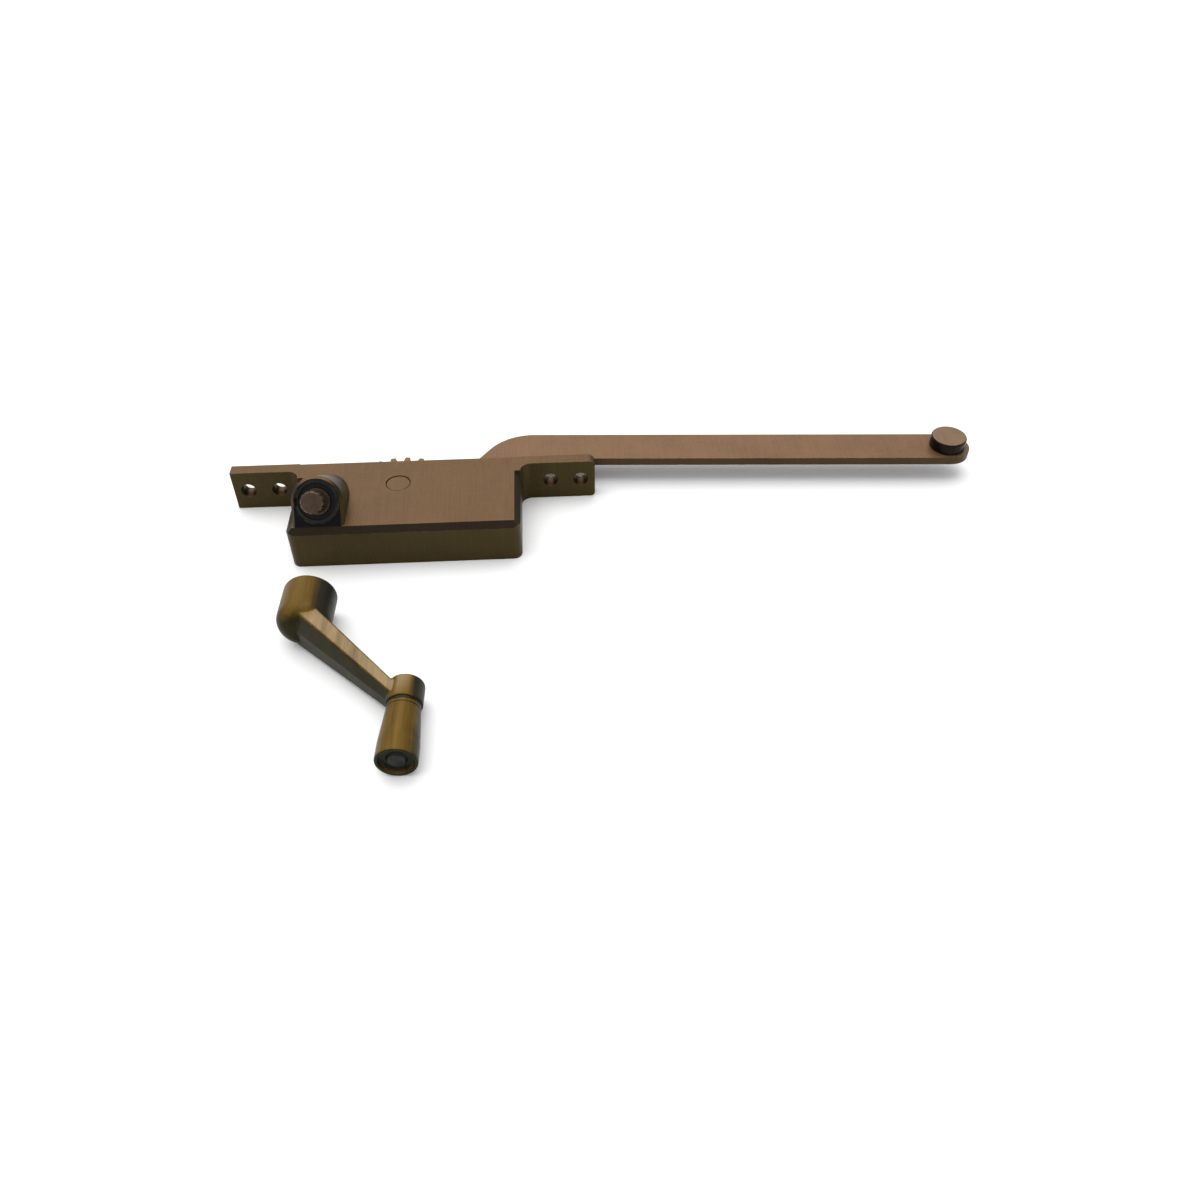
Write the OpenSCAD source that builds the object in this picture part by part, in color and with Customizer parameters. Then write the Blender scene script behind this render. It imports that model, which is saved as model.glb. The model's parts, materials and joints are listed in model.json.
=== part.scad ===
// Single-arm casement window operator with its crank handle taken off.
// The origin is the centre of the screw-hole pattern on the mounting face:
// +X runs along the flange to the arm's tip, +Y points out through the frame, +Z is up.

/* [Flange] */
// Distance between the two inner screw holes
inner_pitch = 112.7; // [108:0.1:120]
// Distance between the two outer screw holes
outer_pitch = 138.1; // [132:0.1:170]
// Metal left beyond each outer hole
end_margin = 6; // [5:0.5:12]
// Thickness of the two ears
ear_t = 5.1; // [4:0.1:7]
// Diameter of the screw holes
screw_hole_d = 4.8; // [4:0.1:5.5]
// Outer diameter of the countersinks
countersink_d = 6.4; // [5.5:0.1:10]
// Straight part of the hole behind the countersink
hole_land = 2; // [1:0.1:3]
// Upper corner radius of the right ear
ear_top_r = 3; // [1:0.5:5]
// Lower corner radius of the right ear
ear_bottom_r = 2; // [1:0.5:5]
// How far the back of the case stays clear of the mounting face
pad_relief = 0.4; // [0.2:0.1:1]
// Radius in the corners between the ears and the case
ear_fillet = 4.5; // [1:0.5:6]

/* [Case] */
// Height of the case and of the ears
case_h = 18; // [17:0.5:24]
// Distance from the hole pattern's centre to the right wall
case_right = 44; // [42:0.5:46]
// Metal between the worm boss and the outside of the left wall
boss_margin = 2.8; // [1:0.1:4]
// Thickness of the side walls
wall_t = 2.2; // [1.5:0.1:3]
// Thickness of the top
top_t = 2.6; // [2:0.1:4]
// Height of the bevel round the top
bevel_drop = 2.2; // [1:0.1:4]
// Width of the bevel round the top
bevel_run = 2.4; // [1:0.1:4]
// Radius of the two upright front corners
corner_r = 3.5; // [1:0.5:5]
// Thickness of the base plate
plate_t = 1.6; // [1.2:0.1:2]
// Wall left outside the base plate
plate_lip = 1.1; // [0.8:0.1:1.5]
// Radius of the posts that take the cover screws
post_r = 3; // [2.5:0.1:4]
// Radius of the cover screws
cover_screw_r = 1.25; // [1:0.05:1.5]
// Length of the cover screws
cover_screw_len = 7; // [5:0.5:8]

/* [Pivot] */
// Pivot, left of the hole pattern's centre
pivot_back_off = 5.4; // [3:0.1:8]
// Pivot, behind the mounting face
pivot_depth = 15.3; // [13:0.1:20]
// Radius of the pivot pin
pin_r = 4; // [3:0.1:4.5]
// Radius of the pin's riveted ends
pin_head_r = 4.8; // [4.6:0.1:6]
// Thickness of the pin's riveted ends
pin_head_t = 0.8; // [0.5:0.1:1.2]
// Outer radius of the washers and bosses at the pivot
pivot_boss_r = 7.5; // [6:0.1:9]
// Thickness of the pivot washers
washer_t = 0.8; // [0.5:0.1:1]
// Wall of the bush in the arm
arm_bush_wall = 1.6; // [1:0.1:2.5]

/* [Arm] */
// Distance from the pivot to the guide button
arm_reach = 234.4; // [160:0.1:300]
// How far the arm's round end sits beyond the button
tip_extra = 0.8; // [0:0.1:3]
// Width of the arm
arm_w = 17.5; // [14:0.1:20]
// Thickness of the arm
arm_t = 3.5; // [2.5:0.1:4.5]
// Height of the arm's top over the screw-hole line
arm_top = 3; // [2.5:0.1:3.5]
// Sideways distance from the pivot to the arm's bar
arm_offset = 33.3; // [31:0.1:45]
// Angle between the closed arm and the flange
closed_lean = 3.1; // [0:0.1:5]
// Angle of the slanted neck
neck_angle = 55; // [50:1:65]
// Middle radius of the two bends in the neck
neck_bend_r = 13.2; // [10:0.1:15]
// Distance from the neck's edge to the right wall's line
neck_inset = 1.7; // [1:0.1:4]
// Room left round the arm where it leaves the case
arm_room = 1; // [0.5:0.1:2]

/* [Gear] */
// Teeth that a full circle would have
gear_teeth = 26; // [22:1:30]
// Pitch radius of the toothed sector
gear_r = 24.1; // [20:0.1:27]
// First angle of the toothed sector
sector_from = 62; // [50:1:70]
// Last angle of the toothed sector
sector_to = 205; // [195:1:215]
// Height of the teeth over the pitch circle
addendum = 1.6; // [1:0.1:1.8]
// Slope of the tooth flanks
flank_angle = 18; // [14:1:24]
// Play between the teeth and the worm thread
mesh_play = 0.6; // [0.5:0.05:0.8]
// Where the thread meets the teeth, in teeth
mesh_phase = 0.15; // [0:0.01:1]
// Room between the teeth and the front wall
gear_room = 0.7; // [0.5:0.1:2]

/* [Worm] */
// Slope of the worm towards the room
worm_tilt = 36; // [30:1:40]
// Pitch radius of the worm
worm_r = 4.6; // [4:0.1:6]
// Height of the worm's axis over the middle of the teeth
worm_lift = 0.8; // [0:0.1:1.2]
// Radius of the worm's core
worm_core_r = 2.9; // [2.4:0.1:3.4]
// Reach of the thread below the sector
thread_below = 4.4; // [3:0.1:4.8]
// Reach of the thread above the sector
thread_above = 8; // [6:0.1:9]
// Radius of the splined stud that takes the crank
stud_r = 4.37; // [4:0.01:5.2]
// Radius of the shaft where it runs in the bushing
journal_r = 5.2; // [4.6:0.05:5.6]
// Length of the stud outside the boss
stud_out = 9; // [7:0.5:16]
// Number of splines on the stud
splines = 12; // [6:1:14]
// Width of the grooves between the splines
spline_w = 0.5; // [0.3:0.05:0.6]
// Depth of the grooves between the splines
spline_depth = 0.35; // [0.2:0.05:0.5]
// Radius of the worm's lower end
tail_r = 2.2; // [1.8:0.1:2.5]
// Wall of the bush that holds the worm's lower end
tail_bush_wall = 1.1; // [0.8:0.1:1.3]
// Length of the bush that holds the worm's lower end
tail_bush_len = 4.3; // [3:0.1:4.5]
// Outer radius of the boss round the worm
boss_r = 10; // [9.5:0.1:11]
// Bevel round the face of the boss
boss_bevel = 1.1; // [0.5:0.1:1.4]
// Radius of the shaft bushing
bushing_r = 8.5; // [7.5:0.1:8.8]
// Height of the boss face over the edge of the bevel
boss_proud = 0; // [0:0.1:2]
// Start of the shaft bushing above the sector
shoulder_at = 12.5; // [12:0.1:14]

/* [Guide button] */
// Radius of the guide button
button_r = 7.5; // [6:0.1:8.5]
// Height of the guide button
button_h = 5; // [3:0.1:7]
// Radius of the button's shank
shank_r = 3; // [2.5:0.1:4]
// Radius of the washer under the arm
button_washer_r = 5.5; // [4.5:0.1:7]

/* [Crank handle] */
// Radius of the crank's hub
hub_r = 9.9; // [9:0.1:12]
// Length of the crank's hub
hub_len = 20; // [18:0.5:25]
// Height of the rounded end of the hub
hub_dome = 6; // [3:0.5:8]
// Depth of the socket
socket_depth = 13.5; // [10:0.5:15]
// Distance from the hub's axis to the knob's axis
crank_r = 40.2; // [35:0.1:50]
// Distance from the socket's mouth to the knob's collar
collar_from = 43.7; // [38:0.1:46]
// Radius of the collar that carries the knob
collar_r = 6.4; // [5:0.1:6.5]
// Length of the collar
collar_len = 9.5; // [7:0.5:11]
// Radius of the set screw
set_screw_r = 2; // [1.5:0.1:2.5]
// Left and right place of the crank on the table
crank_x = -34.4; // [-60:0.1:-20]
// Front and back place of the crank on the table
crank_y = -70.6; // [-90:0.1:-70]
// Turn of the crank on the table
crank_turn = -2; // [-10:1:10]

/* [Knob] */
// Radius of the knob at the collar
knob_r1 = 6; // [5:0.1:6.5]
// Radius of the knob at its free end
knob_r2 = 7.2; // [6:0.1:8.5]
// Length of the knob
knob_len = 23.1; // [20:0.1:32]
// Radius of the pin that the knob turns on
knob_pin_r = 2.5; // [2:0.1:3]
// Depth of the dish in the knob's end
dish_depth = 1.6; // [1.2:0.1:2.5]
// Width of the rim round the dish
dish_rim = 1.2; // [1:0.1:2]

/* [Fits] */
// Radial play of the shafts in their bearings
running_play = 0.06; // [0.04:0.01:0.1]
// Play between flat faces that slide on each other
end_play = 0.05; // [0.03:0.01:0.1]
// Gap round pieces that are dropped into a recess
drop_in_gap = 0.15; // [0.1:0.05:0.3]

/* [Hidden] */
$fn = 96;
eps = 0.5;
bend_steps = 20;

// Heights
top_z = case_h / 2;
floor_z = -case_h / 2;
plate_top = floor_z + plate_t;
ceiling_z = top_z - top_t;
arm_floor = arm_top - arm_t;
worm_z = arm_top - arm_t / 2 + worm_lift;

// Toothed sector and worm
pivot = [-pivot_back_off, -pivot_depth];
tip_r = gear_r + addendum;
root_r = gear_r - addendum - 0.3;
tooth_step = 360 / gear_teeth;
pitch_t = 2 * PI * gear_r / gear_teeth;
lead_angle = atan(pitch_t * cos(worm_tilt) / (2 * PI * worm_r - pitch_t * sin(worm_tilt)));
tooth_slant = worm_tilt - lead_angle;
pitch_n = pitch_t * cos(tooth_slant);
pitch_w = pitch_n / cos(lead_angle);
worm_x = pivot.x - gear_r - worm_r;
crest_r = worm_r + addendum;
bore_r = crest_r + 1;

// Case
case_left = -worm_x + boss_r + boss_margin;
case_front = pivot_depth + tip_r + gear_room + wall_t;
flange_half = outer_pitch / 2 + end_margin;
boss_face = (case_front - bevel_run - pivot_depth) * cos(worm_tilt)
    + (top_z - worm_z) * sin(worm_tilt) + boss_proud;
plate_edge = plate_lip + drop_in_gap;

// Parts along the worm, measured from the sector's middle towards the room
tail_top = -thread_below - 0.8;
tail_end = tail_top - tail_bush_len;
tail_bush_r = tail_r + running_play + tail_bush_wall;
washer_from = shoulder_at;
bushing_from = washer_from + 0.9;
ring_t = 0.9;
ring_from = boss_face - 0.45 - ring_t;
ring_seat_r = bushing_r + 0.5;
stud_from = boss_face - 0.4;
stud_end = boss_face + stud_out;

// Neck and bar of the arm, measured from the pivot
neck_x = case_right - neck_inset - pivot.x - pivot_depth / tan(neck_angle) - arm_w / 2 / sin(neck_angle);
lower_bend = neck_angle;
upper_bend = neck_angle + closed_lean;
neck_len = (arm_offset - neck_x * sin(closed_lean)) / sin(upper_bend);
neck_end = [neck_x + neck_len * cos(neck_angle), neck_len * sin(neck_angle)];
bar_dir = [cos(closed_lean), -sin(closed_lean)];
bar_along = sqrt(arm_reach * arm_reach - arm_offset * arm_offset);
bar_len = bar_along - neck_end * bar_dir;
lower_cut = neck_bend_r * tan(lower_bend / 2);
upper_cut = neck_bend_r * tan(upper_bend / 2);
button_at = pivot + bar_along * bar_dir + arm_offset * [sin(closed_lean), cos(closed_lean)];

// Cover screws: three in the corners and one beside the arm
screw_inset = wall_t + post_r + 0.6;
screw_places = [
    [-case_left + screw_inset, -case_front + screw_inset],
    [case_right - screw_inset, -case_front + screw_inset],
    [-case_left + screw_inset, -wall_t - post_r - 1],
    [case_right - screw_inset, -case_front / 2]
];

// Crank
crank_dip = asin((hub_r - knob_r2) / crank_r);
socket_r = stud_r + running_play;
knob_from = collar_from + collar_len + 0.9;
crank_at = [crank_x, crank_y, floor_z + hub_r];

// Places its children with +Z along the worm, at a distance from the sector's middle
module on_worm(at = 0) {
    translate([worm_x, pivot.y, worm_z])
        rotate([90 - worm_tilt, 0, 0])
            translate([0, 0, at])
                children();
}

// Places its children in the crank's own frame: +Z out of the socket, +X towards the knob
module on_crank() {
    translate(crank_at)
        rotate([0, 0, crank_turn])
            rotate([0, crank_dip, 0])
                rotate([-90, 0, 0])
                    children();
}

module at_pivot(z) {
    translate([pivot.x, pivot.y, z])
        children();
}

// Plan of the case, drawn in by an edge, with its two front corners rounded
module case_plan(edge, back) {
    r = max(corner_r - edge, 0.4);
    left = -case_left + edge;
    right = case_right - edge;
    front = -case_front + edge;
    translate([left, front + r])
        square([right - left, -back - front - r]);
    translate([left + r, front])
        square([right - left - 2 * r, r + eps]);
    for (x = [left + r, right - r])
        translate([x, front + r])
            circle(r);
}

// Case with a bevel along the front and both sides
module beveled_case() {
    low = top_z - bevel_drop;
    translate([-case_left, -ear_t - eps, floor_z])
        cube([case_left + case_right, ear_t + eps, case_h]);
    intersection() {
        translate([0, 0, floor_z])
            linear_extrude(case_h)
                case_plan(0, 0);
        rotate([90, 0, 0])
            translate([0, 0, -eps])
                linear_extrude(case_front + 2 * eps)
                    polygon([[-case_left, floor_z], [case_right, floor_z], [case_right, low],
                        [case_right - bevel_run, top_z], [-case_left + bevel_run, top_z],
                        [-case_left, low]]);
        rotate([90, 0, 90])
            translate([0, 0, -case_left - eps])
                linear_extrude(case_left + case_right + 2 * eps)
                    polygon([[0, floor_z], [-case_front, floor_z], [-case_front, low],
                        [-case_front + bevel_run, top_z], [0, top_z]]);
    }
}

// Front view of the flange, square on the left and rounded on the right
module flange_face() {
    r1 = ear_top_r;
    r2 = ear_bottom_r;
    translate([-flange_half, floor_z])
        square([2 * flange_half - max(r1, r2), case_h]);
    translate([flange_half - max(r1, r2) - eps, floor_z + r2])
        square([max(r1, r2) + eps, case_h - r1 - r2]);
    translate([flange_half - r1, top_z - r1])
        circle(r1);
    translate([flange_half - r2, floor_z + r2])
        circle(r2);
    translate([flange_half - max(r1, r2) - eps, floor_z])
        square([max(r1, r2) + eps - r2, r2 + eps]);
}

// Concave corner between an ear and the case, on the side given by dir
module ear_corner(wall_x, dir) {
    translate([wall_x, -ear_t, floor_z])
        linear_extrude(case_h)
            difference() {
                translate([dir > 0 ? -bevel_run : -ear_fillet, -ear_fillet])
                    square([ear_fillet + bevel_run, ear_fillet + eps]);
                translate([dir * ear_fillet, -ear_fillet])
                    circle(ear_fillet);
            }
}

module screw_hole(x) {
    sink = ear_t - hole_land;
    translate([x, 0, 0])
        rotate([90, 0, 0]) {
            translate([0, 0, -eps])
                cylinder(r = screw_hole_d / 2, h = ear_t + 2 * eps);
            translate([0, 0, hole_land])
                cylinder(r1 = screw_hole_d / 2, r2 = countersink_d / 2, h = sink);
        }
}

// Space that the arm sweeps at the back of the case
module arm_window() {
    slant = arm_room / sin(neck_angle);
    right = case_right - neck_inset + slant;
    deep = wall_t + 3;
    translate([0, 0, floor_z - eps])
        linear_extrude(arm_top + arm_room + 0.6 - floor_z + eps)
            polygon([[pivot.x - tip_r + 2, -deep], [right - deep / tan(neck_angle), -deep],
                [right + eps / tan(neck_angle), eps], [pivot.x - tip_r + 2, eps]]);
}

module housing_solid() {
    beveled_case();
    rotate([90, 0, 0])
        linear_extrude(ear_t)
            flange_face();
    ear_corner(case_right, 1);
    ear_corner(-case_left, -1);
}

// Arched outline of the boss: round above the worm, with straight sides below it
module boss_plan() {
    circle(boss_r);
    translate([-boss_r, -boss_r])
        square([2 * boss_r, boss_r]);
}

// Bevelled end of the boss
module boss_end() {
    tip = boss_r - boss_bevel;
    on_worm(boss_face - boss_bevel) {
        cylinder(r1 = boss_r, r2 = tip, h = boss_bevel);
        rotate([90, 0, 0])
            linear_extrude(boss_r)
                polygon([[-boss_r, 0], [boss_r, 0], [tip, boss_bevel], [-tip, boss_bevel]]);
    }
}

// Boss for the worm: round inside the case, and an arch that runs out into its top
module boss() {
    back = -5;
    on_worm(shoulder_at - 3)
        cylinder(r = boss_r, h = boss_face - boss_bevel - shoulder_at + 3);
    intersection() {
        union() {
            on_worm(back)
                linear_extrude(boss_face - boss_bevel - back)
                    boss_plan();
            boss_end();
        }
        translate([-case_left + eps, -case_front + eps, ceiling_z - 1])
            cube([boss_r * 3, case_front - 2 * eps, 2 * case_h]);
    }
}

// Everything inside the case that is cast with it
module housing_inside() {
    tail_block_top = arm_floor - 0.8;
    at_pivot(arm_top + washer_t + 2 * end_play)
        cylinder(r = pivot_boss_r, h = ceiling_z - arm_top - washer_t);
    for (p = screw_places)
        translate([p.x, p.y, plate_top])
            cylinder(r = post_r, h = ceiling_z - plate_top + eps);
    translate([-case_left + eps, -pivot_depth, plate_top])
        cube([case_left + worm_x + tail_bush_r + 2, pivot_depth - eps, tail_block_top - plate_top]);
}

module housing() {
    color("#80654a")
        difference() {
            union() {
                difference() {
                    housing_solid();
                    translate([0, 0, floor_z - eps])
                        linear_extrude(ceiling_z - floor_z + eps)
                            case_plan(wall_t, wall_t);
                }
                difference() {
                    union() {
                        housing_inside();
                        boss();
                    }
                    at_pivot(arm_floor - 0.7)
                        cylinder(r = tip_r + gear_room - 0.1, h = arm_t + 1.4);
                }
            }
            arm_window();
            translate([-case_left, -pad_relief, floor_z - eps])
                cube([case_left + case_right, pad_relief + eps, case_h + 2 * eps]);
            translate([0, 0, floor_z - eps])
                linear_extrude(plate_t + eps)
                    case_plan(plate_lip, plate_lip);
            for (x = [-outer_pitch, -inner_pitch, inner_pitch, outer_pitch])
                screw_hole(x / 2);
            on_worm(tail_top)
                cylinder(r = bore_r, h = boss_face - tail_top + eps);
            on_worm(shoulder_at)
                cylinder(r = bushing_r, h = boss_face - shoulder_at + eps);
            on_worm(ring_from)
                cylinder(r = ring_seat_r, h = ring_t);
            on_worm(tail_end)
                cylinder(r = tail_bush_r, h = tail_bush_len + eps);
            at_pivot(0)
                cylinder(r = pin_r, h = top_z + eps);
            at_pivot(top_z - pin_head_t - drop_in_gap)
                cylinder(r = pin_head_r + 2 * drop_in_gap, h = top_t);
            for (p = screw_places)
                translate([p.x, p.y, plate_top - eps])
                    cylinder(r = cover_screw_r, h = cover_screw_len - plate_t + 2 * eps);
        }
}

module base_plate() {
    head_r = 2 * cover_screw_r + drop_in_gap;
    color("#4a3f33")
        difference() {
            union() {
                translate([0, 0, floor_z])
                    linear_extrude(plate_t)
                        case_plan(plate_edge, plate_edge);
                at_pivot(plate_top - eps)
                    cylinder(r = pivot_boss_r, h = arm_floor - plate_top - washer_t - 2 * end_play + eps);
            }
            at_pivot(floor_z - eps)
                cylinder(r = pin_r, h = case_h);
            at_pivot(floor_z - eps)
                cylinder(r = pin_head_r + drop_in_gap, h = pin_head_t + drop_in_gap + eps);
            for (p = screw_places)
                translate([p.x, p.y, floor_z]) {
                    translate([0, 0, -eps])
                        cylinder(r = cover_screw_r + drop_in_gap, h = plate_t + 2 * eps);
                    cylinder(r1 = head_r, r2 = cover_screw_r + drop_in_gap, h = cover_screw_r);
                }
        }
}

module cover_screws() {
    color("#3c3a38")
        for (p = screw_places)
            translate([p.x, p.y, floor_z + drop_in_gap])
                difference() {
                    union() {
                        cylinder(r1 = 2 * cover_screw_r, r2 = cover_screw_r, h = cover_screw_r);
                        cylinder(r = cover_screw_r, h = cover_screw_len - drop_in_gap);
                    }
                    for (a = [0, 90])
                        rotate([0, 0, a])
                            translate([0, 0, 0.35])
                                cube([2.6 * cover_screw_r, 0.5, 0.8], center = true);
                }
}

module pivot_pin() {
    top = top_z - drop_in_gap;
    bottom = floor_z + drop_in_gap;
    color("#8c7155") {
        at_pivot(bottom)
            cylinder(r = pin_r, h = top - bottom);
        at_pivot(bottom)
            cylinder(r = pin_head_r, h = pin_head_t);
        at_pivot(top - pin_head_t)
            cylinder(r = pin_head_r, h = pin_head_t);
    }
}

module pivot_washer(z) {
    at_pivot(z)
        difference() {
            cylinder(r = pivot_boss_r - 0.3, h = washer_t);
            translate([0, 0, -eps])
                cylinder(r = pin_r + running_play, h = washer_t + 2 * eps);
        }
}

module upper_washer() {
    color("#b9b4a8")
        pivot_washer(arm_top + end_play);
}

module lower_washer() {
    color("#b9b4a8")
        pivot_washer(arm_floor - end_play - washer_t);
}

module ring(r_out, r_in, h) {
    difference() {
        cylinder(r = r_out, h = h);
        translate([0, 0, -eps])
            cylinder(r = r_in, h = h + 2 * eps);
    }
}

module tail_bush() {
    color("#a8895a")
        on_worm(tail_end)
            ring(tail_bush_r, tail_r + running_play, tail_bush_len);
}

module shaft_bushing() {
    color("#16181a")
        on_worm(bushing_from)
            ring(bushing_r, journal_r + running_play, ring_from - bushing_from);
}

module retaining_ring() {
    color("#222222")
        on_worm(ring_from)
            difference() {
                ring(ring_seat_r - 0.1, bushing_r - 1.2, ring_t);
                translate([-bushing_r, 0, 0])
                    cube([4, 3, 4 * ring_t], center = true);
            }
}

module thrust_washer() {
    color("#b9b4a8")
        on_worm(washer_from)
            ring(bushing_r - 0.2, journal_r + 2 * running_play, 0.9 - end_play);
}

// Thread of the worm: one ridge with sloping sides, wound round the core
module worm_thread() {
    step = 15;
    first = -thread_below + pitch_w / 3;
    last = thread_above - pitch_w / 3;
    turns = floor(360 * (last - first) / pitch_w / step);
    half = pitch_w / 4 - mesh_play / 2;
    inner = worm_core_r - 0.4;
    foot = half + (worm_r - inner) * tan(flank_angle);
    edge = half - addendum * tan(flank_angle);
    start = 360 * first / pitch_w + 360 * mesh_phase;
    section = [[inner, -foot], [crest_r, -edge], [crest_r, edge], [inner, foot]];
    pts = [for (i = [0:turns]) for (p = section)
        let (a = start + i * step)
            [p[0] * cos(a), p[0] * sin(a), first + i * step * pitch_w / 360 + p[1]]];
    last_ring = 4 * turns;
    sides = [for (i = [0:turns - 1]) for (k = [0:3])
        let (a = 4 * i + k, b = 4 * i + (k + 1) % 4)
            each [[a, b + 4, a + 4], [a, b, b + 4]]];
    caps = [[0, 2, 1], [0, 3, 2], [last_ring, last_ring + 1, last_ring + 2],
        [last_ring, last_ring + 2, last_ring + 3]];
    polyhedron(points = pts, faces = concat(sides, caps), convexity = 8);
}

module worm_shaft() {
    spline_from = boss_face + 1.5;
    color("#6b6459")
        on_worm() {
            translate([0, 0, tail_end + 0.4])
                cylinder(r = tail_r, h = tail_top - tail_end);
            translate([0, 0, tail_top + end_play])
                cylinder(r = worm_core_r, h = shoulder_at - tail_top - 1);
            translate([0, 0, shoulder_at - 2])
                cylinder(r = crest_r, h = 2 - end_play);
            worm_thread();
            translate([0, 0, shoulder_at - eps])
                cylinder(r = journal_r, h = stud_from - shoulder_at + eps);
            difference() {
                union() {
                    translate([0, 0, stud_from - eps])
                        cylinder(r = stud_r, h = stud_end - stud_from - 0.6 + eps);
                    translate([0, 0, stud_end - 0.6])
                        cylinder(r1 = stud_r, r2 = stud_r - 0.6, h = 0.6);
                }
                for (i = [0:splines - 1])
                    rotate([0, 0, (i + 0.25) * 360 / splines])
                        translate([stud_r - spline_depth, -spline_w / 2, spline_from])
                            cube([1, spline_w, stud_out]);
            }
        }
}

// Points on an arc round a centre, from one direction to another
function arc_points(centre, r, from, to) = [
    for (i = [0:bend_steps])
        let (a = from + (to - from) * i / bend_steps)
            centre + r * [cos(a), sin(a)]
];

// The arm from its pivot to its round end: slanted neck, then a straight bar
module arm_neck() {
    half = arm_w / 2;
    neck_dir = [cos(lower_bend), sin(lower_bend)];
    centre_1 = [neck_x - lower_cut, neck_bend_r];
    centre_2 = neck_end - upper_cut * neck_dir + neck_bend_r * [neck_dir.y, -neck_dir.x];
    tip = neck_end + (bar_len + tip_extra) * bar_dir;
    side = half * [-bar_dir.y, bar_dir.x];
    to_1 = lower_bend - 90;
    from_2 = lower_bend + 90;
    to_2 = from_2 - upper_bend;
    polygon(concat([[0, -half]],
        arc_points(centre_1, neck_bend_r + half, -90, to_1),
        arc_points(centre_2, neck_bend_r - half, from_2, to_2),
        [tip - side, tip + side],
        arc_points(centre_2, neck_bend_r + half, to_2, from_2),
        arc_points(centre_1, neck_bend_r - half, to_1, -90),
        [[0, half]]));
    translate(tip)
        circle(half);
}

// Wedge of the toothed sector, before its gaps are cut
module sector_plan() {
    far = 2 * tip_r;
    middle = (sector_from + sector_to) / 2;
    intersection() {
        circle(tip_r);
        polygon([[0, 0], far * [cos(sector_from), sin(sector_from)],
            far * [cos(middle), sin(middle)], far * [cos(sector_to), sin(sector_to)]]);
    }
}

// One slanted gap between two teeth, at the pitch circle
module tooth_gap() {
    half = pitch_n / 4 + mesh_play / 4;
    out = addendum + 1;
    deep = gear_r - root_r;
    rotate([tooth_slant, 0, 0])
        linear_extrude(3 * arm_t, center = true)
            polygon([[-deep, deep * tan(flank_angle) - half], [out, -half - out * tan(flank_angle)],
                [out, half + out * tan(flank_angle)], [-deep, half - deep * tan(flank_angle)]]);
}

module arm() {
    gaps = ceil((sector_to - sector_from) / tooth_step);
    first = 180 - mesh_phase * tooth_step + 2 * tooth_step;
    color("#8c6f57")
        difference() {
            at_pivot(arm_floor)
                linear_extrude(arm_t) {
                    circle(arm_w * 0.75);
                    sector_plan();
                    arm_neck();
                }
            at_pivot(arm_floor - eps)
                cylinder(r = pin_r + running_play + arm_bush_wall, h = arm_t + 2 * eps);
            at_pivot(worm_z)
                for (i = [0:gaps])
                    rotate([0, 0, first - i * tooth_step])
                        translate([gear_r, 0, 0])
                            tooth_gap();
            translate([button_at.x, button_at.y, arm_floor - eps])
                cylinder(r = shank_r + running_play, h = arm_t + 2 * eps);
        }
}

module arm_bush() {
    color("#a8895a")
        at_pivot(arm_floor)
            ring(pin_r + running_play + arm_bush_wall, pin_r + running_play, arm_t);
}

module guide_button() {
    shank_end = arm_floor - 1.6;
    color("#8a725a")
        translate([button_at.x, button_at.y, 0]) {
            translate([0, 0, arm_top + 0.3])
                cylinder(r = button_r, h = button_h - 0.5);
            translate([0, 0, arm_top + button_h - 0.2])
                cylinder(r1 = button_r, r2 = button_r - 0.5, h = 0.5);
            translate([0, 0, shank_end])
                cylinder(r = shank_r, h = arm_top + 1 - shank_end);
            translate([0, 0, shank_end])
                cylinder(r1 = shank_r + 0.4, r2 = shank_r + 0.8, h = 0.7);
        }
}

module button_washer() {
    color("#3c3a38")
        translate([button_at.x, button_at.y, arm_floor - 0.85])
            ring(button_washer_r, shank_r, 0.8);
}

// Cross-section of the crank's arm: a flat top, and a front that bulges to a keel
module crank_section(front, back, up, down) {
    linear_extrude(0.2, center = true)
        polygon([[-front * 1.6, 0], [-front, up], [back * 0.7, up], [back, 0],
            [back * 0.7, -down], [-front * 1.3, -down]]);
}

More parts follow.
